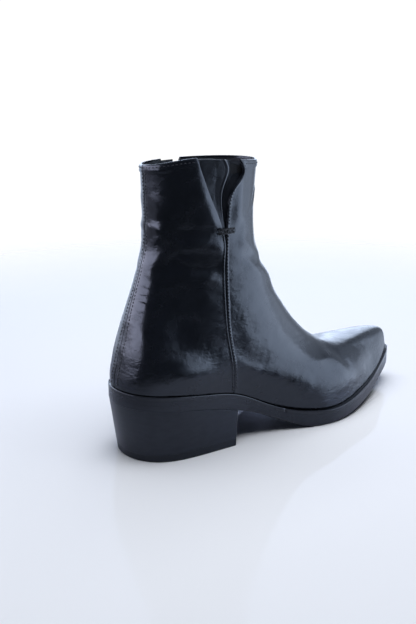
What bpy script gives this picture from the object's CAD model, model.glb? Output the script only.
"""Looks of the right western ankle boot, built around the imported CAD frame."""

import math

import bpy
import numpy as np
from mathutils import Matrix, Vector


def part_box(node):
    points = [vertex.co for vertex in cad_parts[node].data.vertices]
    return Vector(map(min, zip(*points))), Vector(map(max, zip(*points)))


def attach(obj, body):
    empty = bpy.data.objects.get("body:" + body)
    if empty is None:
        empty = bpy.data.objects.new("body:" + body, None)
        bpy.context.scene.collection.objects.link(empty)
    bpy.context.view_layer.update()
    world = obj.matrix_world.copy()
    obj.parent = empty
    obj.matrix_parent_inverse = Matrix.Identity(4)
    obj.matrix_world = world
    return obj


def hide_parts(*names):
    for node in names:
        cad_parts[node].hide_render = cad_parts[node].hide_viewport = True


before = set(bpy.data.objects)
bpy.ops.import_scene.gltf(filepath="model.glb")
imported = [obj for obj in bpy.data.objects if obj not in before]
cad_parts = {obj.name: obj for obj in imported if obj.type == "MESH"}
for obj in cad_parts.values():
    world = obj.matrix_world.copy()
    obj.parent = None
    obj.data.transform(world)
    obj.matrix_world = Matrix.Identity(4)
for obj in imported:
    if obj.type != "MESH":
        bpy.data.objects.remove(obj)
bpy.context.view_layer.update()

# ---- shape of the upper, in the CAD's drawing frame (mm: x from the back of the heel, z from the floor) ----
# back x, back z, front x, front y, front z, share of the sole curve
RINGS = np.array([
    (-3.5, 57.5, 296.5, 15.0, 29.5, 1.00),
    (-3.0, 66.0, 293.5, 14.5, 40.0, 1.00),
    (-1.0, 75.0, 286.5, 13.5, 50.0, 0.90),
    (1.5, 85.0, 264.5, 11.5, 54.5, 0.75),
    (5.0, 97.0, 234.0, 8.0, 55.5, 0.60),
    (9.0, 111.0, 202.0, 5.0, 60.5, 0.45),
    (14.5, 128.0, 173.5, 2.5, 81.0, 0.30),
    (20.5, 146.0, 151.5, 1.0, 108.5, 0.15),
    (25.0, 162.0, 135.0, 0.0, 136.0, 0.00),
    (27.0, 180.0, 123.5, 0.0, 160.0, 0.00),
    (27.0, 202.0, 121.5, 0.0, 192.0, 0.00),
    (26.0, 226.0, 124.5, 0.0, 226.0, 0.00)])
LAST = len(RINGS) - 1
BACK_X = -3.5              # feather line: back, length, swing of the toe to the inner side, middle
FOOT_LENGTH = 300.0
TOE_SWING = 15.0
SOLE_MIDDLE = 147.0
STATION = [0, 0.1, 0.25, 0.45, 0.62, 0.8, 0.9, 1]
WIDTH_RING = [0, 2, 4, 6, 8, LAST]
OUTER_WIDTH = np.array([
    (71, 55, 38.7, 36.2, 50.0, 44.6, 36.2, 24),
    (72, 58, 41, 38, 46, 41, 31, 31),
    (66, 48, 38, 34.8, 37.6, 39.5, 38, 42),
    (44, 36, 33, 31.9, 32.6, 33.6, 33, 33),
    (34, 31, 29, 28.5, 29, 31, 32, 33),
    (31, 31, 31, 31, 31, 31, 31, 31)])
INNER_WIDTH = np.array([
    (71, 55, 37, 24, 35.2, 39.3, 33, 25),
    (72, 58, 36, 30, 36, 35, 30, 30),
    (66, 48, 34.0, 31.0, 32, 33, 32, 35),
    (44, 36, 31.8, 31.2, 32, 31, 30, 30),
    (34, 32, 30.8, 30.6, 30, 29.5, 30, 31),
    (31, 31, 31, 31, 31, 31, 31, 31)])
SOLE_TOP = [(-5, 57.8), (30, 54), (60, 49), (88, 42.8), (105, 35.5), (118, 28.5), (128, 23.8),
            (140, 19.5), (160, 15.2), (180, 13.3), (200, 14), (225, 16.8), (260, 22.3), (304, 34.5)]
SOLE_UNDER = [(-5, 46.0), (30, 42.0), (60, 36.6), (82, 31.0), (94, 27.2), (104, 23.8), (113, 20.0),
              (123, 15.2), (132, 10.9), (141.5, 6.8), (151, 3.1), (160, 0.7), (170, 0.0), (179, 0.1),
              (201, 1.7), (236, 6.1), (267, 11.8), (296, 18.1), (308, 23.0)]
HEEL_SEAT = 46.0           # height at which the heel's outline is the sole's
HEEL_FLOOR = np.array([(2.0, 0), (4.6, -14), (14, -27), (32, -35.5), (58, -37.5), (87, -37.5)])
HEEL_XS = np.array([BACK_X, -1.0, 8.5, 30, 60, 94.0])
LIFT_T = 6.0
OUTSOLE_T = 5.0
WELT_T = 3.5
WELT_START = 138.0
LEATHER = 1.5
V_PHI = -1.26              # the V of the gusset, where the collar rises most
COLLAR_RISE = 6.4
ZIP_X, ZIP_Z, ZIP_LEAN = 71.0, 224.0, 0.0987
ZIP_GAP = 4.7
ZIP_Y = 30.75
PITCH = 2.8
TEETH_FROM, TEETH_TO = 2.9, 140.0
TEETH_Z = -1.95


def natural_spline(xs, ys, x):
    """Natural cubic spline through (xs, ys), read at x."""
    xs = np.asarray(xs, float)
    ys = np.asarray(ys, float).reshape(len(xs), -1)
    x = np.asarray(x, float).ravel()
    n = len(xs)
    h = np.diff(xs)
    a = np.eye(n)
    b = np.zeros_like(ys)
    for i in range(1, n - 1):
        a[i, i - 1:i + 2] = [h[i - 1], 2 * (h[i - 1] + h[i]), h[i]]
        b[i] = 6 * ((ys[i + 1] - ys[i]) / h[i] - (ys[i] - ys[i - 1]) / h[i - 1])
    m = np.linalg.solve(a, b)
    i = np.clip(np.searchsorted(xs, x) - 1, 0, n - 2)
    d = (x - xs[i])[:, None]
    e = (xs[i + 1] - x)[:, None]
    w = h[i][:, None]
    cubic = (m[i] * e ** 3 + m[i + 1] * d ** 3) / (6 * w)
    return cubic + (ys[i] / w - m[i] * w / 6) * e + (ys[i + 1] / w - m[i + 1] * w / 6) * d


def curve(points):
    """y of x through (x, y) points, for any array."""
    xs = [p[0] for p in points]
    ys = [p[1] for p in points]
    return lambda v: natural_spline(xs, ys, v).reshape(np.shape(v))


sole_top = curve(SOLE_TOP)
sole_under = curve(SOLE_UNDER)


def skin(phi, t):
    """Outside of the upper.

    phi is 0 at the back, pi at the front and minus on the outer side.
    t is 0 at the feather line and 1 at the collar.
    """
    phi, t = np.broadcast_arrays(np.asarray(phi, float), np.asarray(t, float))
    shape = phi.shape
    phi = phi.ravel()
    level = t.ravel() * LAST
    back_x, back_z, front_x, front_y, front_z, share = natural_spline(np.arange(LAST + 1), RINGS, level).T
    u = (1 - np.cos(phi)) / 2
    mix = natural_spline(STATION, np.eye(len(STATION)), u)
    outer = (natural_spline(WIDTH_RING, OUTER_WIDTH, level) * mix).sum(1)
    inner = (natural_spline(WIDTH_RING, INNER_WIDTH, level) * mix).sum(1)
    half = np.where(np.sin(phi) < 0, outer, inner)
    x = back_x + (front_x - back_x) * u
    sag = sole_top(BACK_X + FOOT_LENGTH * u) - (RINGS[0, 1] + (RINGS[0, 4] - RINGS[0, 1]) * u)
    z = back_z + (front_z - back_z) * u + share * sag
    over_gusset = np.exp(3.4 * (np.cos(phi - V_PHI) - 1))
    z = z + (1.2 + COLLAR_RISE * over_gusset) * np.clip(4 * t.ravel() - 3, 0, None) ** 2
    y = front_y * u ** 2 + half * np.sin(phi)
    return np.stack([x, y, z], -1).reshape(shape + (3,))


def normal(phi, t):
    """Outward normal; level at the feather line and at the collar."""
    e = 1e-4
    t_mid = np.clip(t, e, 1 - e)
    across = skin(phi + e, t_mid) - skin(phi - e, t_mid)
    up = skin(phi, t_mid + e) - skin(phi, t_mid - e)
    n = np.cross(up, across)
    n[..., 2] *= np.clip(t / 0.08, 0, 1) * np.clip((1 - t) / 0.04, 0, 1)
    return n / np.linalg.norm(n, axis=-1, keepdims=True)


def layer(phi, t, depth):
    """Points at a depth in mm under the outside of the upper."""
    phi, t = np.broadcast_arrays(np.asarray(phi, float), np.asarray(t, float))
    return skin(phi, t) - normal(phi, t) * np.broadcast_to(depth, phi.shape)[..., None]


def phi_at(x_of_z, t, side):
    """Angle of a seam that stands at x = x_of_z(z), for each t."""
    t = np.atleast_1d(t)
    phi = np.full(t.shape, side * math.pi / 2)
    ring = natural_spline(np.arange(LAST + 1), RINGS, t * LAST)
    for _ in range(12):
        u = (x_of_z(skin(phi, t)[:, 2]) - ring[:, 0]) / (ring[:, 2] - ring[:, 0])
        phi = side * np.arccos(1 - 2 * np.clip(u, 0, 1))
    return phi


def ease(x):
    """Smooth step from 0 to 1."""
    x = np.clip(x, 0, 1)
    return x * x * (3 - 2 * x)


curled_edge = curve([(30, 88.15), (60, 86.95), (80, 84.85), (96, 82.45), (115, 81.4), (150, 81.3),
                     (178, 82.0), (192, 82.7), (201, 83.8), (207, 86.6), (212, 91.0), (217, 95.8),
                     (221, 98.0), (225, 97.0), (229, 94.0), (234, 91.5)])
quarter_side_edge = curve([(30, 87.85), (60, 86.65), (80, 84.55), (96, 82.1), (115, 80.95), (150, 80.7),
                           (172, 80.6), (181, 78.6), (201, 69.4), (217, 62.5), (230, 57.5)])


def zip_line(z):
    """x of the middle of the zip; the leather stands back from it by zip_gap."""
    return ZIP_X + (ZIP_Z - z) * ZIP_LEAN


def zip_gap(z):
    return 0.15 + (ZIP_GAP - 0.15) * ease((z - 62) / 20)


def zip_back(z):
    return zip_line(z) - zip_gap(z) - 9.5 * np.clip((z - 172) / 54, 0, None) ** 1.6


def zip_front(z):
    return zip_line(z) + zip_gap(z)


def fixed(angle):
    """Edge of a panel at one angle all the way up."""
    return lambda t: np.full(np.shape(t), angle)


def seam(x_of_z, side, turn=0.0):
    """Edge of a panel at x = x_of_z(z)."""
    return lambda t: phi_at(x_of_z, t, side) + turn


# ---- outlines of the bottom ----
AROUND = np.linspace(-math.pi, math.pi, 321)[:-1]


def ring_outline(t, out, phi):
    """Outline of the upper at one t, moved outwards by out mm."""
    e = 1e-4
    p = skin(phi, t)[:, :2]
    d = skin(phi + e, t)[:, :2] - skin(phi - e, t)[:, :2]
    n = np.stack([-d[:, 1], d[:, 0]], -1)
    n /= np.linalg.norm(n, axis=1, keepdims=True)
    return p + n * np.broadcast_to(out, phi.shape)[:, None]


def ledge(phi):
    """How far the sole edge stands out from the feather line."""
    u = (1 - np.cos(phi)) / 2
    return np.interp(u, [0, 0.34, 0.46, 0.62, 0.8, 0.9, 1], [1.2, 1.2, 2.4, 3.8, 2.9, 1.4, 2.0])


def sole_edge(phi, out=0.0):
    return ring_outline(0.0, ledge(phi) + out, phi)


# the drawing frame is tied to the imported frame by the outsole's box
edge_line = sole_edge(AROUND)
low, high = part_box("outsole")
SHIFT = np.array([(low.x + high.x) * 500 - (edge_line[:, 0].min() + edge_line[:, 0].max()) / 2,
                  (low.y + high.y) * 500 - (edge_line[:, 1].min() + edge_line[:, 1].max()) / 2, 0.0])


def to_row(p):
    """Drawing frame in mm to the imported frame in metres."""
    return (np.asarray(p, float).reshape(-1, 3) + SHIFT) / 1000


# ---- meshes ----
def turned_out(verts, faces):
    """Faces of a closed mesh, all turned so that it has a positive volume."""
    v = np.asarray(verts, float).reshape(-1, 3)
    v = v - v.mean(0)
    corners = np.array([(f[0], a, b) for f in faces for a, b in zip(f[1:], f[2:])])
    a, b, c = v[corners[:, 0]], v[corners[:, 1]], v[corners[:, 2]]
    total = float(np.sum(a * np.cross(b, c)))
    return [tuple(f)[::-1] for f in faces] if total < 0 else faces


def add_mesh(name, verts, faces, material, replaces=(), body="boot"):
    """Smooth closed mesh from points in the drawing frame, given to a body and a slot."""
    faces = turned_out(verts, faces)
    mesh = bpy.data.meshes.new(name)
    mesh.from_pydata(to_row(verts).tolist(), [], [tuple(int(i) for i in f) for f in faces])
    mesh.validate()
    mesh.polygons.foreach_set("use_smooth", [True] * len(mesh.polygons))
    mesh.materials.append(material)
    obj = bpy.data.objects.new(name, mesh)
    bpy.context.collection.objects.link(obj)
    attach(obj, body)
    if replaces:
        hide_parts(*replaces)
    return obj


def grid_faces(rows, cols, start=0, wrap_rows=False, wrap_cols=False, flip=False):
    """Quads of a grid of rows x cols points that lie row after row."""
    faces = []
    for i in range(rows if wrap_rows else rows - 1):
        for j in range(cols if wrap_cols else cols - 1):
            a = start + i * cols + j
            b = start + i * cols + (j + 1) % cols
            c = start + ((i + 1) % rows) * cols + (j + 1) % cols
            d = start + ((i + 1) % rows) * cols + j
            faces.append((a, d, c, b) if flip else (a, b, c, d))
    return faces


def tube_faces(rings, sides, start, flip=False):
    """Faces of a tube of rings x sides points, closed at both ends."""
    first = tuple(start + a for a in range(sides))[::-1]
    last = tuple(start + (rings - 1) * sides + a for a in range(sides))
    ends = [first[::-1], last[::-1]] if flip else [first, last]
    return grid_faces(rings, sides, start, wrap_cols=True, flip=flip) + ends


def circle(centre, across, up, radius, sides):
    """Points around a centre, in the plane of two directions."""
    angles = [2 * math.pi * a / sides for a in range(sides)]
    return [centre + (across * math.cos(w) + up * math.sin(w)) * radius for w in angles]


def graded(count, length, reach=1.3):
    """0 to 1 in even steps, with close steps in the last few tenths of a millimetre at both ends."""
    ends = np.array([0, 0.06, 0.16, 0.32, 0.55, 0.85, 1.2]) * reach / length
    step = (1 - 2 * ends[-1]) / count
    middle = np.linspace(ends[-1] + step, 1 - ends[-1] - step, count - 1)
    return np.concatenate([ends, middle, 1 - ends[::-1]])


def distance_to_edges(p):
    """Distance in mm of every grid point from the first and last column and row."""
    across = np.linalg.norm(np.diff(p, axis=0), axis=-1)
    along = np.linalg.norm(np.diff(p, axis=1), axis=-1)
    zero_row = np.zeros((1, p.shape[1]))
    zero_col = np.zeros((p.shape[0], 1))
    from_first = np.concatenate([zero_row, np.cumsum(across, 0)])
    from_bottom = np.concatenate([zero_col, np.cumsum(along, 1)], axis=1)
    return from_first, from_first[-1:] - from_first, from_bottom, from_bottom[:, -1:] - from_bottom


def rolled(d, radius):
    """Drop of a rounded edge at distance d from it."""
    d = np.clip(d, 0, radius)
    return radius - np.sqrt(radius ** 2 - (radius - d) ** 2)


def shell(name, phi_from, phi_to, t_from, t_to, material, replaces=(), thick=LEATHER, depth=0.0,
          cols=120, rows=150, length=150.0, height=190.0, relief=None, round_edges=(0.8, 0.8, 0.3, 0.9)):
    """Leather panel between two seam angles, with rounded edges and its relief worked into the outer face."""
    s = graded(cols, length)[:, None]
    t = t_from + (t_to - t_from) * graded(rows, height)
    phi = phi_from(t)[None, :] * (1 - s) + phi_to(t)[None, :] * s
    tt = np.broadcast_to(t[None, :], phi.shape)
    base = skin(phi, tt)
    n = normal(phi, tt)
    edges = distance_to_edges(base)
    down = np.broadcast_to(depth(base, s) if callable(depth) else depth, phi.shape).astype(float)
    face = down.copy()
    for d, radius in zip(edges, round_edges):
        face += rolled(d, radius) if radius else 0
    if relief:
        bump = relief(base, edges)
        face -= bump
        down = down - np.minimum(bump, 0)
    outer = base - n * face[..., None]
    inner = base - n * np.maximum(down + thick, face + 0.25)[..., None]
    i, j = phi.shape
    verts = np.concatenate([outer.reshape(-1, 3), inner.reshape(-1, 3)])
    faces = grid_faces(i, j) + grid_faces(i, j, i * j, flip=True)
    rim = [k * j for k in range(i)] + [(i - 1) * j + k for k in range(1, j)]
    rim += [k * j + j - 1 for k in range(i - 2, -1, -1)] + [k for k in range(j - 2, 0, -1)]
    # known fault: this strip winds against both skins; (a, b, b + i * j, a + i * j) would match them
    for a, b in zip(rim, rim[1:] + rim[:1]):
        faces.append((b, a, a + i * j, b + i * j))
    return add_mesh(name, verts, faces, material, replaces)


def loops_mesh(name, loops, material, replaces, swept=False):
    """Solid from a stack of closed loops; swept: from open lines that run along a closed profile."""
    rows, cols = len(loops), len(loops[0])
    if swept:
        faces = grid_faces(rows, cols, wrap_rows=True)
        faces += [tuple(k * cols for k in range(rows)), tuple(k * cols + cols - 1 for k in range(rows))[::-1]]
    else:
        faces = tube_faces(rows, cols, 0)
    return add_mesh(name, np.concatenate(loops), faces, material, replaces)


def stitches(name, points, normals, pitch, length, radius):
    """A row of stitches along a line of points: each one a small arched capsule, its ends in the leather."""
    seg = np.linalg.norm(np.diff(points, axis=0), axis=1)
    run = np.concatenate([[0], np.cumsum(seg)])
    count = int(run[-1] / pitch)
    verts, faces = [], []
    rings, sides = 7, 8
    for k in range(count):
        centre = (k + 0.5) * run[-1] / count
        start = len(verts)
        for r in range(rings):
            f = r / (rings - 1) * 2 - 1
            s = centre + f * length / 2
            p = np.array([np.interp(s, run, points[:, a]) for a in range(3)])
            q = np.array([np.interp(s + 0.05, run, points[:, a]) for a in range(3)])
            n = np.array([np.interp(s, run, normals[:, a]) for a in range(3)])
            n /= np.linalg.norm(n)
            along = (q - p) / np.linalg.norm(q - p)
            side = np.cross(n, along)
            fat = radius * math.sqrt(max(1 - f ** 4, 0.04))
            p = p + n * (radius * 0.5 - 0.35 * f ** 4)
            verts += circle(p, side, n, fat, sides)
        faces += tube_faces(rings, sides, start)
    return add_mesh(name, np.array(verts), faces, thread)


# ---- materials ----
COOL = (0.84, 0.91, 1.0, 1)          # blue-black dye and wax tint the reflections


def node(tree, kind, **values):
    """New node with its inputs and properties set by name."""
    n = tree.nodes.new(kind)
    for key, value in values.items():
        if key in n.inputs:
            n.inputs[key].default_value = value
        else:
            setattr(n, key, value)
    return n


def math_node(tree, operation, *values):
    """Result of one sum; values are numbers or sockets."""
    n = node(tree, "ShaderNodeMath", operation=operation)
    for socket, value in zip(n.inputs, values):
        if isinstance(value, (int, float)):
            socket.default_value = value
        else:
            tree.links.new(value, socket)
    return n.outputs[0]


def noise(tree, coord, scale, detail=2.0, distortion=0.0, stretch=None):
    if stretch:
        mapping = node(tree, "ShaderNodeMapping", Scale=stretch)
        tree.links.new(coord, mapping.inputs["Vector"])
        coord = mapping.outputs["Vector"]
    n = node(tree, "ShaderNodeTexNoise", Scale=scale, Detail=detail, Distortion=distortion)
    tree.links.new(coord, n.inputs["Vector"])
    return n.outputs["Fac"]


def ramp(tree, value, low, high, out_low=0.0, out_high=1.0):
    """Smooth step of a value between low and high."""
    n = tree.nodes.new("ShaderNodeMapRange")
    n.interpolation_type = "SMOOTHSTEP"
    tree.links.new(value, n.inputs["Value"])
    for key, v in (("From Min", low), ("From Max", high), ("To Min", out_low), ("To Max", out_high)):
        n.inputs[key].default_value = v
    return n.outputs["Result"]


def mixed(tree, factor, a, b):
    n = tree.nodes.new("ShaderNodeMix")
    n.data_type = "RGBA"
    tree.links.new(factor, n.inputs["Factor"])
    for socket, value in ((n.inputs["A"], a), (n.inputs["B"], b)):
        if isinstance(value, tuple):
            socket.default_value = value + (1,)
        else:
            tree.links.new(value, socket)
    return n.outputs["Result"]


def bumped(tree, height, strength, distance, below=None):
    n = node(tree, "ShaderNodeBump", Strength=strength, Distance=distance)
    tree.links.new(height, n.inputs["Height"])
    if below is not None:
        tree.links.new(below, n.inputs["Normal"])
    return n.outputs["Normal"]


def new_material(name, **principled):
    material = bpy.data.materials.new(name)
    material.use_nodes = True
    tree = material.node_tree
    shader = tree.nodes["Principled BSDF"]
    for key, value in principled.items():
        shader.inputs[key.replace("_", " ")].default_value = value
    coord = tree.nodes.new("ShaderNodeTexCoord").outputs["Object"]
    return material, tree, shader, coord


def leather(name, dark, light, rough, grain, coat=0.08, wrinkle=0.25):
    """Dyed, waxed calf: pores and fine creases as bump, cloudy polish as roughness, a little dye colour."""
    material, tree, shader, coord = new_material(
        name, Coat_Weight=coat, Coat_Roughness=0.12, Coat_IOR=1.4, IOR=1.6, Specular_Tint=COOL)
    cloud = noise(tree, coord, 28, 3)
    colour = mixed(tree, ramp(tree, cloud, 0.35, 0.7), dark, light)
    tree.links.new(colour, shader.inputs["Base Color"])
    polish = noise(tree, coord, 75, 5, 0.4)
    tree.links.new(ramp(tree, polish, 0.3, 0.7, rough - 0.05, rough + 0.09), shader.inputs["Roughness"])
    pores = node(tree, "ShaderNodeTexVoronoi", Scale=1150.0)
    tree.links.new(coord, pores.inputs["Vector"])
    creases = noise(tree, coord, 230, 5, 0.8)
    ripples = noise(tree, coord, 110, 3, 0.5, (1, 1, 2.2))
    uneven = noise(tree, coord, 34, 2, 0.3)
    bump = bumped(tree, uneven, 0.5, 0.0022)
    bump = bumped(tree, ripples, 0.4, 0.0006, bump)
    bump = bumped(tree, creases, wrinkle, 0.0003, bump)
    bump = bumped(tree, pores.outputs["Distance"], grain, 0.00007, bump)
    tree.links.new(bump, shader.inputs["Normal"])
    return material


def plain_grain(name, dark, light, rough, scale, strength, depth, stretch=None, **principled):
    """Board, cork, rubber, edge ink or metal: one grain that carries colour, roughness and bump."""
    material, tree, shader, coord = new_material(name, **principled)
    grain = noise(tree, coord, scale, 4, 0.2, stretch)
    tree.links.new(mixed(tree, ramp(tree, grain, 0.3, 0.7), dark, light), shader.inputs["Base Color"])
    slow = noise(tree, coord, scale / 9, 2)
    tree.links.new(ramp(tree, slow, 0.3, 0.7, rough, rough + 0.08), shader.inputs["Roughness"])
    tree.links.new(bumped(tree, grain, strength, depth), shader.inputs["Normal"])
    return material


def woven(name, dark, light, pitch):
    """Plain weave from two crossed waves."""
    material, tree, shader, coord = new_material(name, Sheen_Weight=0.25, Sheen_Roughness=0.5)
    waves = []
    for direction in ("X", "Z"):
        wave = tree.nodes.new("ShaderNodeTexWave")
        wave.bands_direction = direction
        wave.inputs["Scale"].default_value = 0.314 / pitch
        wave.inputs["Distortion"].default_value = 0.4
        tree.links.new(coord, wave.inputs["Vector"])
        waves.append(wave.outputs["Fac"])
    both = math_node(tree, "MULTIPLY", *waves)
    tree.links.new(mixed(tree, both, dark, light), shader.inputs["Base Color"])
    tree.links.new(ramp(tree, noise(tree, coord, 300), 0.3, 0.7, 0.7, 0.85), shader.inputs["Roughness"])
    tree.links.new(bumped(tree, both, 0.6, 0.00015), shader.inputs["Normal"])
    return material


INK = (0.004, 0.0048, 0.0095), (0.008, 0.0095, 0.016)
DULL = (0.004, 0.0045, 0.007), (0.007, 0.008, 0.012)
calf = leather("polished_black_calf", (0.0025, 0.0032, 0.006), (0.004, 0.005, 0.009), 0.2, 0.3, wrinkle=0.4)
soft = leather("soft_black_gusset_calf", *DULL, 0.32, 0.4, wrinkle=0.5)
lining = leather("black_lining_leather", (0.012, 0.012, 0.013), (0.022, 0.021, 0.021), 0.5, 0.5, coat=0.0)
sock = leather("black_sock_leather", (0.014, 0.013, 0.013), (0.026, 0.024, 0.023), 0.45, 0.5, coat=0.0)
edge_ink = plain_grain("waxed_sole_edge", *INK, 0.25, 260, 0.15, 0.0001, (1, 1, 2.5),
                       Coat_Weight=0.2, Coat_Roughness=0.2, Specular_Tint=COOL)
welt_ink = plain_grain("waxed_welt", *DULL, 0.2, 420, 0.2, 0.0001,
                       Coat_Weight=0.3, Coat_Roughness=0.15, Specular_Tint=COOL)
heel_ink = plain_grain("satin_black_heel", *INK, 0.28, 130, 0.12, 0.0001, (1, 1, 3),
                       Coat_Weight=0.15, Coat_Roughness=0.25, Specular_Tint=COOL)
rubber = plain_grain("black_rubber_lift", (0.004, 0.0045, 0.007), (0.007, 0.008, 0.011), 0.36, 900, 0.3,
                     0.0001, Specular_Tint=COOL)
cork = plain_grain("ground_cork", (0.16, 0.085, 0.04), (0.34, 0.2, 0.1), 0.8, 420, 0.8, 0.0006)
steel = plain_grain("tempered_steel", (0.32, 0.33, 0.35), (0.42, 0.43, 0.45), 0.3, 500, 0.1, 0.00005,
                    (1, 8, 1), Metallic=1.0)
board = plain_grain("leather_board", (0.2, 0.13, 0.08), (0.3, 0.2, 0.13), 0.75, 600, 0.4, 0.0002)
thread = plain_grain("waxed_black_thread", (0.006, 0.0065, 0.008), (0.016, 0.017, 0.021), 0.35, 2200, 0.5,
                     0.0001)
tape = woven("black_zip_tape", (0.004, 0.004, 0.0045), (0.014, 0.014, 0.016), 0.0005)
nickel = plain_grain("brushed_nickel", (0.3, 0.297, 0.29), (0.5, 0.495, 0.48), 0.2, 700, 0.12, 0.00004,
                     (1, 1, 5), Metallic=1.0)

# CAD pieces that stay as they are and get a better material
KEPT = {"cork_filler": cork, "steel_shank": steel, "insole_board": board, "heel_counter": board,
        "toe_puff": board, "zip_top_stop_front": nickel, "zip_top_stop_rear": nickel,
        "zip_bottom_stop": nickel, "zip_slider": nickel, "zip_bail": nickel, "zip_pull_tab": nickel}
for name, material in KEPT.items():
    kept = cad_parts[name]
    kept.data.materials.clear()
    kept.data.materials.append(material)


# ---- upper ----
RIM_T = 1 / 264.0          # share of t in one millimetre below the collar
V_FOOT = 174.6             # height of the foot of the V


def front_edge(extra):
    """Side edge of the front panel, moved forward by extra mm."""
    return seam(lambda z: curled_edge(z) + extra, -1, 2 * math.pi)


def quarter_edge(extra):
    """Front edge of the outer quarter, moved back by extra mm."""
    return seam(lambda z: quarter_side_edge(z) - extra, -1)


def bell(d, width):
    return np.exp(-(d / width) ** 2)


def crease(p, start, end, width, height, side=-1, bow=0.0):
    """Soft ridge (or valley) along a line from start to end, both (x, z), on one side of the boot."""
    a = np.array(start, float)
    b = np.array(end, float)
    along = b - a
    long = np.linalg.norm(along)
    along /= long
    q = np.stack([p[..., 0], p[..., 2]], -1) - a
    s = (q @ along) / long
    off = q @ np.array([-along[1], along[0]]) - bow * 4 * s * (1 - s)
    fade = ease((s + 0.15) / 0.3) * ease((1.15 - s) / 0.3)
    return height * bell(off, width) * fade * ease((side * p[..., 1] + 4) / 12)


def collar_band(edges):
    """Leather turned over at the collar: a band 6 mm deep, thicker at its lower edge."""
    return (0.1 + 0.14 * np.clip(edges[3], 0, 6)) * ease((6.4 - edges[3]) / 0.9)


def seam_edge(d, z, width, height, top=V_FOOT):
    """Skived edge of a seam, raised over a few millimetres below the V."""
    return height * ease((width - d) / 0.7) * ease((top - z) / 6)


def front_relief(p, edges):
    """Turned collar, raised seams and walking folds of the front panel."""
    z = p[..., 2]
    bump = collar_band(edges) + seam_edge(edges[0], z, 2.4, 0.35)
    bump += 0.3 * ease((2.2 - edges[0]) / 0.8) * ease((z - V_FOOT) / 6)
    bump += 0.3 * ease((3.0 - edges[1]) / 0.8) * ease((z - 62) / 12)
    bump += crease(p, (121, 206), (108, 188), 1.5, 1.1, bow=1.2)
    bump -= crease(p, (118, 203), (105, 186), 2.6, 0.9, bow=1.2)
    bump += crease(p, (96, 222), (93, 182), 5.0, 0.9)
    bump += crease(p, (96, 168), (124, 150), 4.0, 0.8)
    bump -= crease(p, (100, 158), (130, 142), 4.5, 0.8)
    bump += crease(p, (104, 146), (142, 128), 5.0, 0.7)
    bump -= crease(p, (128, 128), (156, 108), 4.0, 0.7)
    bump += crease(p, (186, 60), (206, 38), 5.0, 0.35)
    bump -= crease(p, (196, 60), (214, 40), 4.0, 0.35)
    bump += crease(p, (112, 196), (100, 184), 3.0, 0.8, side=1)
    bump -= crease(p, (118, 170), (92, 158), 5.0, 0.8, side=1)
    bump += crease(p, (134, 140), (100, 128), 5.0, 0.7, side=1)
    return bump


def quarter_relief(side):
    """Turned collar, rolled V edge and folds of a quarter."""
    def relief(p, edges):
        z = p[..., 2]
        bump = collar_band(edges)
        if side < 0:
            bump += seam_edge(edges[0], z, 2.2, 0.3)
            bump -= 1.5 * np.clip(1 - edges[0] / 10.5, 0, 1) ** 2.0 * ease((z - V_FOOT + 2) / 14)
        else:
            bump += 0.3 * ease((3.0 - edges[1]) / 0.8) * ease((z - 62) / 12)
        bump += crease(p, (42, 168), (80, 163), 5.5, 1.1, side, 2.0)
        bump -= crease(p, (40, 178), (80, 176), 5.0, 0.9, side, 1.0)
        bump -= crease(p, (36, 154), (78, 149), 4.5, 0.8, side, -2.0)
        bump += crease(p, (34, 145), (74, 139), 3.5, 0.6, side, 1.5)
        bump -= crease(p, (30, 137), (66, 132), 3.0, 0.4, side)
        bump += crease(p, (27, 204), (42, 192), 6.0, 0.5, side)
        bump += crease(p, (25, 182), (34, 180), 4.2, 0.95, side)
        bump += crease(p, (29, 173.5), (41, 172.5), 3.2, 0.6, side, 0.8)
        bump += crease(p, (38, 167), (22, 151), 3.2, 0.45, side)
        bump -= crease(p, (41, 161), (25, 145), 3.2, 0.45, side)
        fine = ((22, 138, 8), (24, 133, 9), (20, 127, 7), (21, 121, 8), (16, 112, 7))
        for k, (cx, cz, size) in enumerate(fine):
            bump -= crease(p, (cx - size, cz), (cx + size, cz - 1.5), 0.7, 0.14, side, 0.5 * (-1) ** k)
        return bump
    return relief


shell("front_panel_leather", front_edge(0), seam(zip_front, 1), 0, 1, calf, ["front_panel"],
      cols=250, rows=190, length=200, height=200, relief=front_relief, round_edges=(0.9, 0.9, 1.1, 0.9))
shell("quarter_outer_leather", quarter_edge(0), fixed(-0.004), 0, 1, calf, ["quarter_outer"],
      cols=110, rows=200, length=95, height=180, relief=quarter_relief(-1), round_edges=(0.9, 0.7, 0.9, 0.9))
shell("quarter_inner_leather", fixed(0.004), seam(zip_back, 1), 0, 1, calf,
      ["quarter_inner"], cols=90, rows=200, length=85, height=180, relief=quarter_relief(1),
      round_edges=(0.7, 0.9, 0.9, 0.9))


def opening(z):
    """How far the gusset's folds stand apart: 0 at the foot of the V, 1 near the collar."""
    return ease((z - 178) / 36)


def gusset_depth(p, s):
    """Folded gusset: nearly flat behind, a sharp ridge, a deep valley and a face up to the front panel."""
    u = np.broadcast_to(s, p.shape[:2])
    u = u - 0.09 * opening(p[..., 2]) * np.sin(math.pi * u)
    wave = np.interp(u, [0, 0.1, 0.3, 0.45, 0.5, 0.53, 0.57, 0.63, 0.7, 0.78, 0.88, 1],
                     [2.6, 2.5, 2.6, 2.1, 1.6, 1.9, 4.4, 7.2, 7.6, 6.6, 4.4, 2.4])
    return 1.75 + (wave - 1.75) * opening(p[..., 2])


shell("side_gusset_leather", quarter_edge(4.5), seam(lambda z: curled_edge(z) + 3.5, -1), 0.835, 0.996, soft,
      ["side_gusset"], thick=0.9, depth=gusset_depth, cols=150, rows=80, length=48, height=46,
      round_edges=(0, 0, 0, 0.4))


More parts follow.
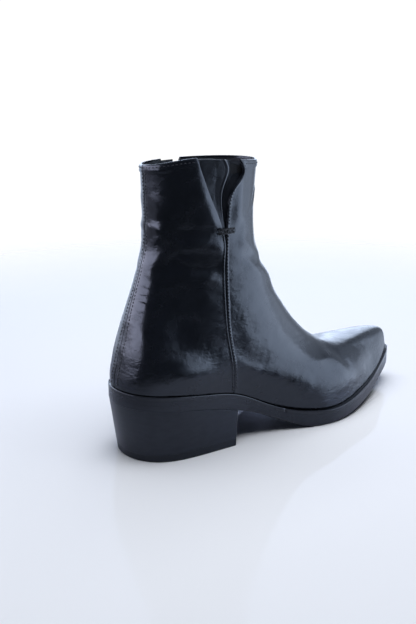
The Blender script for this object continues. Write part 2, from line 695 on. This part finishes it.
def lining_depth(p, _):
    """Lining lies on the stiffeners low down, on the leather at the collar, and behind the folded gusset."""
    x, y, z = p[..., 0], p[..., 1], p[..., 2]
    rest = 2.8 - 1.2 * ease((z - 190) / 30)
    behind = 7.4 * np.exp(-np.abs((x - 80) / 17.0) ** 3) * ease((z - 176) / 36) * ease((-y - 5) / 12)
    return rest + behind


def lining_end(t):
    return phi_at(lambda z: zip_front(z) + 0.6, t, 1) - 2 * math.pi


shell("shaft_lining", seam(lambda z: zip_line(z) - zip_gap(z) - 0.6, 1), lining_end, 0.03, 0.995, lining,
      ["lining_front", "lining_quarter_outer", "lining_quarter_inner"], thick=0.85,
      depth=lining_depth, cols=300, rows=150, length=400, height=190, round_edges=(0.3, 0.3, 0, 0.3))


# ---- thread ----
def upright_row(name, edge, z_from, z_to, pitch, length, radius, lift=0.0):
    """Stitches up the shaft along an edge, on leather that is raised there by lift."""
    t = np.linspace(0.0, 1, 800)
    phi = edge(t)
    p = layer(phi, t, -lift)
    inside = (p[:, 2] > z_from) & (p[:, 2] < z_to)
    return stitches(name, p[inside], normal(phi, t)[inside], pitch, length, radius)


def collar_row(name, start_edge, end_edge):
    """Stitches round the turned collar, from one edge to another."""
    t = np.full(500, 1 - 2.1 * RIM_T)
    phi = np.linspace(float(start_edge(t[:1])[0]), float(end_edge(t[:1])[0]), 500)
    return stitches(name, layer(phi, t, -0.3), normal(phi, t), 3.0, 1.9, 0.42)


# heights between which a row runs, pitch, stitch length, thread radius, lift
upright_row("side_seam_row_front", seam(lambda z: curled_edge(z) + 1.5, -1), 46, 174, 2.6, 2.0, 0.26, 0.3)
upright_row("side_seam_row_rear", quarter_edge(1.5), 46, 174, 2.6, 2.0, 0.26, 0.25)
upright_row("v_edge_row_front", seam(lambda z: curled_edge(z) + 1.6, -1), 181, 226, 2.4, 1.8, 0.28, 0.25)
upright_row("zip_row_front", seam(lambda z: zip_front(z) + 2.0, 1), 80, 221, 2.8, 2.1, 0.26, 0.25)
upright_row("zip_row_rear", seam(lambda z: zip_back(z) - 2.0, 1), 80, 221, 2.8, 2.1, 0.26, 0.25)
for side, word in ((-1, "outer"), (1, "inner")):
    upright_row("back_seam_row_" + word, fixed(side * 0.066), 60, 222, 2.7, 2.0, 0.27)
collar_row("collar_row_front", front_edge(3.0), seam(lambda z: zip_front(z) + 3, 1))
collar_row("collar_row_rear", quarter_edge(3.0), seam(lambda z: zip_back(z) - 3, 1))


def bar_tack():
    """Crossed stitches over the foot of the V, in a frame of two long threads."""
    low, high = 174.7, 178.7
    stops = [74.5, 78.4, 82.0, 85.6, 89.2]
    threads = [((stops[0], z), (stops[-1], z - 0.2)) for z in (low, low + 0.6, high, high - 0.6)]
    for a, b in zip(stops, stops[1:]):
        threads += [((a, low), (b, high)), ((a, high), (b, low))]
    threads += [((x, low), (x, high)) for x in stops[:2] + stops[-2:]]
    verts, faces = [], []
    sides, rings = 8, 6
    for k, ((x0, z0), (x1, z1)) in enumerate(threads):
        lift, radius = (0.5, 0.3) if k < 4 else (0.75, 0.26)
        start = len(verts)
        for r in range(rings):
            f = r / (rings - 1)
            x = x0 + (x1 - x0) * f
            z = z0 + (z1 - z0) * f
            t = float(np.interp(z, [160, 180, 202], [8 / 11, 9 / 11, 10 / 11]))
            for _ in range(4):
                phi = phi_at(lambda q: np.full(np.shape(q), x), np.array([t]), -1)
                t += (z - float(skin(phi, np.array([t]))[0, 2])) * RIM_T
            arch = 1 - (2 * f - 1) ** 4
            centre = layer(phi, np.array([t]), -(lift * arch + 0.1))[0]
            n = normal(phi, np.array([t]))[0]
            along = np.array([x1 - x0, 0, z1 - z0])
            across = np.cross(n, along / np.linalg.norm(along))
            verts += circle(centre, across, n, radius, sides)
        faces += tube_faces(rings, sides, start)
    return add_mesh("v_foot_bar_tack", np.array(verts), faces, thread, ["gusset_bar_tack"])


bar_tack()


# ---- bottom ----
def rail(phi, out, rise):
    """Loop beside the feather line: out from it, and above the sole's top line."""
    p = ring_outline(0.0, out, phi)
    return np.column_stack([p, sole_top(p[:, 0]) + rise])


def ledge_ring(name, phi, groove, material, node_name):
    """Welt or rand: groove beside the upper, then a flat top with a rounded edge."""
    wide = ledge(phi)
    # mm from the feather line, share of the ledge's width added to it, height from the top of the sole
    profile = [(-4.5, 0.0, -0.15), (-0.9, 0.0, -0.2), (-0.1, 0.0, -groove), (0.0, 0.3, -groove),
               (0.0, 0.45, -0.35), (0.0, 0.55, -0.08), (-0.75, 1.0, 0.0), (-0.35, 1.0, -0.08),
               (-0.1, 1.0, -0.28), (0.0, 1.0, -0.6), (0.0, 1.0, -0.7), (0.0, 1.0, -WELT_T + 0.15),
               (0.0, 1.0, -WELT_T + 0.06), (-0.04, 1.0, -WELT_T), (-4.5, 0.0, -WELT_T)]
    loops = [rail(phi, a + wide * b, c) for a, b, c in profile]
    return loops_mesh(name, loops, material, [node_name], swept=True)


def phi_of_x(x, side):
    """Angle on the feather line at x."""
    return side * math.acos(1 - 2 * (x - BACK_X) / FOOT_LENGTH)


seam_outer, seam_inner = phi_of_x(WELT_START, -1), phi_of_x(WELT_START, 1)
behind = np.linspace(seam_outer + 0.001, seam_inner - 0.001, 160)
ahead = np.linspace(seam_inner + 0.001, 2 * math.pi + seam_outer - 0.001, 240)
ledge_ring("heel_rand_leather", behind, 0.9, welt_ink, "heel_rand")
ledge_ring("welt_leather", ahead, 1.6, welt_ink, "welt")


def plate(name, outline, low, high, bevels, material, node_name, channel=0.0):
    """Sole layer between two curves of x. outline gives the edge moved out; bevels: lower and upper edge."""
    loops = []

    def loop(out, shrink, z):
        p = outline(out)
        middle = TOE_SWING * ((p[:, 0] - BACK_X) / FOOT_LENGTH) ** 2
        x = SOLE_MIDDLE + (p[:, 0] - SOLE_MIDDLE) * shrink
        p = np.stack([x, middle + (p[:, 1] - middle) * shrink], -1)
        loops.append(np.column_stack([p, z(p[:, 0])]))

    lower, upper = (b if callable(b) else (lambda x, b=b: np.full(np.shape(x), b)) for b in bevels)
    here = outline(0.0)[:, 0]
    inward = [0.02, 0.15, 0.3, 0.45, 0.6, 0.75, 0.88, 0.95]
    for k in inward:
        loop(-lower(here), k, low)
    if channel:
        for out, deep in ((-4.6, 0.0), (-4.2, channel), (-3.8, channel), (-3.4, 0.0)):
            loop(out, 1.0, lambda x, d=deep: low(x) + d)
    for a in np.radians([0, 30, 60, 90]):
        loop(-lower(here) * (1 - math.sin(a)), 1.0, lambda x, c=1 - math.cos(a): low(x) + lower(here) * c)
    for f in (0.05, 0.5, 0.95):
        loop(0.0, 1.0, lambda x, f=f: (low(x) + lower(here)) * (1 - f) + (high(x) - upper(here)) * f)
    for a in np.radians([90, 60, 30, 0]):
        loop(-upper(here) * (1 - math.sin(a)), 1.0, lambda x, c=1 - math.cos(a): high(x) - upper(here) * c)
    for k in inward[::-1]:
        loop(-upper(here), k, high)
    return loops_mesh(name, loops, material, [node_name])


def sole_bevel(x):
    """Lower edge of the outsole: rounded over the forepart, crisp where the heel sits on it."""
    return 0.04 + 0.75 * ease((x - 98) / 25)


def under(rise):
    """Underside of the sole, raised."""
    return lambda x: sole_under(x) + rise


def top(rise):
    """Top of the sole, raised."""
    return lambda x: sole_top(x) + rise


plate("outsole_leather", lambda out: sole_edge(AROUND, out), under(0), under(OUTSOLE_T),
      (sole_bevel, 0.04), edge_ink, "outsole", channel=0.35)
plate("midsole_leather", lambda out: sole_edge(AROUND, out), under(OUTSOLE_T), top(-WELT_T), (0.04, 0.04),
      edge_ink, "midsole")
plate("sock_leather", lambda out: ring_outline(0.05, -4.9 + out, AROUND), top(2.4), top(3.6), (0.3, 0.4),
      sock, "sock_liner")


def heel_points():
    """D outlines of the heel at the floor and at its seat, the same points on both."""
    phi = np.arccos(1 - 2 * (HEEL_XS - BACK_X) / FOOT_LENGTH)
    outer = sole_edge(-phi)
    inner = sole_edge(phi)
    floor = np.concatenate([HEEL_FLOOR[::-1], HEEL_FLOOR[1:] * [1, -1]])
    seat = np.concatenate([outer[::-1], inner[1:]])
    run = np.concatenate([[0], np.cumsum(np.linalg.norm(np.diff(seat, axis=0), axis=1))])
    s = run[-1] * np.concatenate([[0], (1 - np.cos(np.linspace(0.12, math.pi - 0.12, 144))) / 2, [1]])
    return natural_spline(run, floor, s), natural_spline(run, seat, s)


def heel_solid(name, z_low, z_high, bevels, material, node_name):
    """Heel or heel lift with eased corners and edges; at the seat it follows the sole's underside."""
    floor, seat = heel_points()
    breast = np.linspace(0, 1, 22)[1:-1, None]
    floor = np.concatenate([floor, floor[-1] + (floor[0] - floor[-1]) * breast])
    seat = np.concatenate([seat, seat[-1] + (seat[0] - seat[-1]) * breast])

    def eased(p, radius):
        for _ in range(3):
            p = (np.roll(p, 1, axis=0) + 2 * p + np.roll(p, -1, axis=0)) / 4
        d = np.roll(p, -1, axis=0) - np.roll(p, 1, axis=0)
        n = np.stack([d[:, 1], -d[:, 0]], -1) / np.linalg.norm(d, axis=1)[:, None]
        area = np.sum(p[:, 0] * np.roll(p[:, 1], -1) - p[:, 1] * np.roll(p[:, 0], -1))
        return p - n * radius * np.sign(area)

    def section(z, inset):
        z = np.broadcast_to(z, (len(floor),))
        p = floor + (seat - floor) * z[:, None] / HEEL_SEAT
        return np.column_stack([eased(p, inset), z])

    topped = np.full(len(floor), z_high)
    if z_high == HEEL_SEAT:
        for _ in range(8):
            topped = sole_under(floor[:, 0] + (seat[:, 0] - floor[:, 0]) * topped / HEEL_SEAT)
    loops = []
    for a in np.radians([0, 30, 60, 90]):
        loops.append(section(z_low + bevels[0] * (1 - math.cos(a)), bevels[0] * (1 - math.sin(a))))
    for f in (0.004, 0.02, 0.1, 0.25, 0.4, 0.6, 0.75, 0.9, 0.98, 0.996):
        loops.append(section(z_low + bevels[0] + (topped - bevels[1] - z_low - bevels[0]) * f, 0.0))
    for a in np.radians([90, 60, 30, 0]):
        loops.append(section(topped - bevels[1] * (1 - math.cos(a)), bevels[1] * (1 - math.sin(a))))
    return loops_mesh(name, loops, material, [node_name])


heel_solid("heel_block_leather", LIFT_T, HEEL_SEAT, (0.12, 0.04), heel_ink, "heel_block")
heel_solid("heel_top_lift_rubber", 0.0, LIFT_T, (0.35, 0.12), rubber, "heel_top_lift")


# ---- zip ----
def tape_mesh(name, side, node_name):
    """Woven tape behind the leather, from the feet of the teeth outwards, with a corded inner edge."""
    def inner_edge(z):
        return zip_line(z) + side * 2.9

    def outer_edge(z):
        plain = zip_line(z) + side * 13.0
        return plain if side > 0 else np.minimum(plain, zip_back(z) - 4.0)

    def bead(_, edges):
        return 0.12 * bell(edges[0] - 0.8, 0.7)

    return shell(name, seam(inner_edge, 1), seam(outer_edge, 1), 0.21, 0.996, tape, [node_name],
                 thick=0.55, depth=LEATHER + 0.2, cols=30, rows=150, length=10, height=180, relief=bead,
                 round_edges=(0.25, 0.2, 0, 0.2))


tape_mesh("zip_tape_front_woven", 1, "zip_tape_front")
tape_mesh("zip_tape_rear_woven", -1, "zip_tape_rear")
ZIP_DOWN = np.array([ZIP_LEAN, 0, -1]) / math.hypot(ZIP_LEAN, 1)
ZIP_ACROSS = np.array([-ZIP_DOWN[2], 0, ZIP_DOWN[0]])
ZIP_OUT = np.array([0.0, 1, 0])
ZIP_TOP = np.array([ZIP_X, ZIP_Y, ZIP_Z])


def on_zip(points):
    """Points across, down and out from the top of the zip."""
    p = np.asarray(points, float)
    return ZIP_TOP + p[:, :1] * ZIP_ACROSS + p[:, 1:2] * ZIP_DOWN + p[:, 2:] * ZIP_OUT


def teeth_mesh(name, side, node_name):
    """Cast teeth on their cord: each narrows behind its nose and widens at the foot that grips the tape."""
    verts, faces = [], []
    # distance from the middle of the zip, half width along it, half thickness
    profile = [(0.7, 0.3, 0.6), (0.8, 0.55, 0.95), (1.15, 0.68, 1.08), (1.5, 0.5, 1.0), (1.9, 0.62, 1.1),
               (2.6, 0.68, 1.1), (2.85, 0.5, 0.8)]
    sides = 12
    first = TEETH_FROM + (0.8 if side > 0 else 0.8 + PITCH / 2)
    count = int((TEETH_TO - first - 0.8) / PITCH) + 1
    for k in range(count):
        start = sum(len(v) for v in verts)
        for x, half_y, half_z in profile:
            w = np.linspace(0, 2 * math.pi, sides, endpoint=False) + math.pi / sides
            c, s = np.cos(w), np.sin(w)
            y = first + k * PITCH + half_y * np.sign(c) * np.abs(c) ** 0.55
            z = TEETH_Z + half_z * np.sign(s) * np.abs(s) ** 0.55
            verts.append(on_zip(np.stack([np.full(sides, side * x), y, z], -1)))
        faces += tube_faces(len(profile), sides, start, flip=side < 0)
    return add_mesh(name, np.concatenate(verts), faces, nickel, [node_name])


teeth_mesh("zip_teeth_front_cast", 1, "zip_teeth_front")
teeth_mesh("zip_teeth_rear_cast", -1, "zip_teeth_rear")


# ---- floor, light and camera ----
def stage_mesh(name, verts, faces, material, **visible):
    """Part of the studio, and which rays see it."""
    mesh = bpy.data.meshes.new(name)
    mesh.from_pydata([tuple(float(c) for c in v) for v in verts], [], faces)
    mesh.materials.append(material)
    obj = bpy.data.objects.new(name, mesh)
    bpy.context.collection.objects.link(obj)
    for key, value in visible.items():
        setattr(obj, "visible_" + key, value)
    return obj


def polar(tree):
    """Azimuth, elevation and distance from the boot of a point, from its place in the room."""
    coord = tree.nodes.new("ShaderNodeTexCoord").outputs["Object"]
    split = tree.nodes.new("ShaderNodeSeparateXYZ")
    tree.links.new(coord, split.inputs[0])
    x, y, z = split.outputs
    away = math_node(tree, "SQRT", math_node(tree, "ADD", math_node(tree, "MULTIPLY", x, x),
                                             math_node(tree, "MULTIPLY", y, y)))
    return math_node(tree, "ARCTAN2", y, x), math_node(tree, "ARCTAN2", z, away), away, x, y


def see_through(tree, shader_output, clear_share, tint=(1, 1, 1, 1)):
    """Mixes a shader with a clear one and puts the result on the surface."""
    clear = node(tree, "ShaderNodeBsdfTransparent", Color=tint)
    mix = tree.nodes.new("ShaderNodeMixShader")
    tree.links.new(clear_share, mix.inputs[0])
    tree.links.new(shader_output, mix.inputs[1])
    tree.links.new(clear.outputs[0], mix.inputs[2])
    output = next((n for n in tree.nodes if n.type == "OUTPUT_MATERIAL"), None)
    output = output or tree.nodes.new("ShaderNodeOutputMaterial")
    tree.links.new(mix.outputs[0], output.inputs["Surface"])


def floor():
    """White table that melts into the background behind the boot."""
    material, tree, shader, _ = new_material("pale_table", IOR=1.1, Roughness=0.04)
    shader.inputs["Base Color"].default_value = (0.79, 0.82, 0.88, 1)
    away = polar(tree)[2]
    see_through(tree, shader.outputs[0], ramp(tree, away, 0.38, 0.92))
    reach = 1.1
    corners = [(-reach, -reach, 0), (reach, -reach, 0), (reach, reach, 0), (-reach, reach, 0)]
    stage_mesh("floor", corners, [(0, 1, 2, 3)], material)


def studio():
    """Soft boxes and dark flats that show only in reflections: the lamp above lights the rest."""
    material = bpy.data.materials.new("studio_flats")
    material.use_nodes = True
    tree = material.node_tree
    tree.nodes.clear()
    azimuth, elevation, away, x, y = polar(tree)

    def band(value, low, high, soft):
        low, high, soft = math.radians(low), math.radians(high), math.radians(soft)
        return math_node(tree, "MULTIPLY", ramp(tree, value, low - soft, low + soft),
                         ramp(tree, value, high - soft, high + soft, 1.0, 0.0))

    def box(az, el, strength):
        both = math_node(tree, "MULTIPLY", band(azimuth, *az), band(elevation, *el))
        return math_node(tree, "MULTIPLY", both, strength)

    # where the leather mirrors the table itself instead of a flat: near the boot, but not in front of the toe
    table = ramp(tree, y, -0.34, -0.20)
    lit_side = ramp(tree, band(azimuth, -62, 8, 6), 0.2, 0.8, 1, 0)
    close = math_node(tree, "ADD", ramp(tree, y, -0.22, -0.13), lit_side)
    table = math_node(tree, "MINIMUM", table, close)
    table = math_node(tree, "MINIMUM", table, ramp(tree, away, 0.35, 0.5, 1, 0))
    table = math_node(tree, "MULTIPLY", table, ramp(tree, elevation, 0.02, 0.03, 1, 0))
    table = math_node(tree, "MULTIPLY", table, ramp(tree, x, 0.14, 0.22, 1, 0))
    glows = []
    for boxes, ambient, colour in ((FRONT_BOXES, 0.08, FRONT_COLOUR), (REAR_BOXES, 0.0, REAR_COLOUR)):
        total = ambient
        for az, el, strength in boxes:
            total = math_node(tree, "ADD", total, box(az, el, strength))
        glow = node(tree, "ShaderNodeEmission", Color=colour)
        away_from_boot = math_node(tree, "SUBTRACT", 1.0, table)
        tree.links.new(math_node(tree, "MULTIPLY", total, away_from_boot), glow.inputs["Strength"])
        glows.append(glow)
    both = tree.nodes.new("ShaderNodeAddShader")
    tree.links.new(glows[0].outputs[0], both.inputs[0])
    tree.links.new(glows[1].outputs[0], both.inputs[1])
    facing = tree.nodes.new("ShaderNodeNewGeometry").outputs["Backfacing"]
    mirrored = math_node(tree, "MULTIPLY", table, ramp(tree, away, 0.17, 0.30, 0.75, 0.42))
    see_through(tree, both.outputs[0], math_node(tree, "MAXIMUM", facing, mirrored), (0.85, 0.88, 1.0, 1))
    reflected_only = dict.fromkeys(("camera", "diffuse", "shadow", "transmission", "volume_scatter"), False)
    rows, cols = 16, 64
    verts = []
    for i in range(rows + 1):
        e = math.radians(-3 + 93 * i / rows)
        for j in range(cols):
            a = 2 * math.pi * j / cols
            direction = (math.cos(e) * math.cos(a), math.cos(e) * math.sin(a), math.sin(e))
            verts.append(tuple(DOME * c for c in direction))
    faces = [tuple(int(v) for v in f)[::-1] for f in grid_faces(rows + 1, cols, wrap_cols=True)]
    stage_mesh("studio_dome", verts, faces, material, **reflected_only)
    z = 0.001
    apron = [(-DOME, -DOME, z), (DOME, -DOME, z), (DOME, DOME, z), (-DOME, DOME, z)]
    stage_mesh("studio_apron", apron, [(0, 1, 2, 3)], material, **reflected_only)
    # room behind the flats: the faint light that dull surfaces get from all round
    dim = bpy.data.materials.new("dim_room")
    dim.use_nodes = True
    dim.node_tree.nodes.clear()
    glow = node(dim.node_tree, "ShaderNodeEmission", Color=(0.85, 0.93, 1.15, 1), Strength=0.02)
    output = dim.node_tree.nodes.new("ShaderNodeOutputMaterial")
    dim.node_tree.links.new(glow.outputs[0], output.inputs["Surface"])
    diffuse_only = dict.fromkeys(("camera", "glossy", "transmission", "volume_scatter"), False)
    room = [tuple(1.2 * c for c in v) for v in verts]
    room = [(x, y, z if k >= cols else -2.0) for k, (x, y, z) in enumerate(room)]
    stage_mesh("studio_room", room, faces, dim, **diffuse_only)


DOME = 3.0                 # radius of the studio in metres
FRONT_COLOUR = (0.86, 1.0, 1.26, 1)
REAR_COLOUR = (1.0, 1.0, 1.26, 1)
# azimuth from, to, softness; elevation from, to, softness (degrees, seen from the boot); strength
FRONT_BOXES = [((-58, -12, 5), (-60, 38, 5), 2.2),
               ((-12, 9, 8), (-60, 9, 5), 1.15),
               ((9, 34, 7), (-60, 60, 6), 0.42),
               ((-12, 9, 8), (9, 40, 6), 0.6),
               ((34, 120, 6), (3, 45, 5), 3.3),
               ((34, 120, 6), (45, 80, 6), 0.9),
               ((34, 120, 6), (-60, 3, 5), 0.7),
               ((-181, 181, 1), (58, 91, 12), 0.5)]
REAR_BOXES = [((117, 181, 4), (3.4, 22, 1.3), 3.3),
              ((-181, -163, 5), (3.4, 22, 1.3), 3.3),
              ((112, 181, 8), (-60, 2.5, 1), 0.28)]


def overhead():
    """Large soft box above the boot. It lights the floor, and the boot's reflections come from the studio."""
    data = bpy.data.lights.new("overhead", "AREA")
    data.shape = "SQUARE"
    data.size = 1.2
    data.energy = 21
    data.color = (0.97, 0.98, 1.0)
    lamp = bpy.data.objects.new("overhead", data)
    bpy.context.collection.objects.link(lamp)
    lamp.location = (0.05, 0.0, 1.25)
    lamp.rotation_euler = Vector((-0.05, 0.0, -1.25)).to_track_quat("-Z", "Y").to_euler()
    lamp.visible_camera = False
    lamp.visible_glossy = False


def camera():
    """Camera at its place in the drawing frame, and its direction of view."""
    data = bpy.data.cameras.new("camera")
    data.sensor_fit = "VERTICAL"
    data.sensor_height = 36.0
    data.sensor_width = 24.0
    data.lens = 50.02
    data.clip_start = 0.01
    cam = bpy.data.objects.new("camera", data)
    bpy.context.collection.objects.link(cam)
    cam.location = to_row([-280.0, -566.5, 312.8])[0]
    cam.rotation_euler = Vector((0.5155, 0.8043, -0.2955)).to_track_quat("-Z", "Y").to_euler()
    bpy.context.scene.camera = cam


def sky():
    world = bpy.data.worlds.new("plain_white")
    bpy.context.scene.world = world
    world.use_nodes = True
    background = world.node_tree.nodes["Background"]
    background.inputs["Color"].default_value = (1.0, 1.0, 1.0, 1)
    background.inputs["Strength"].default_value = 1.05


floor()
studio()
overhead()
camera()
sky()
bpy.context.scene.view_settings.view_transform = "Standard"
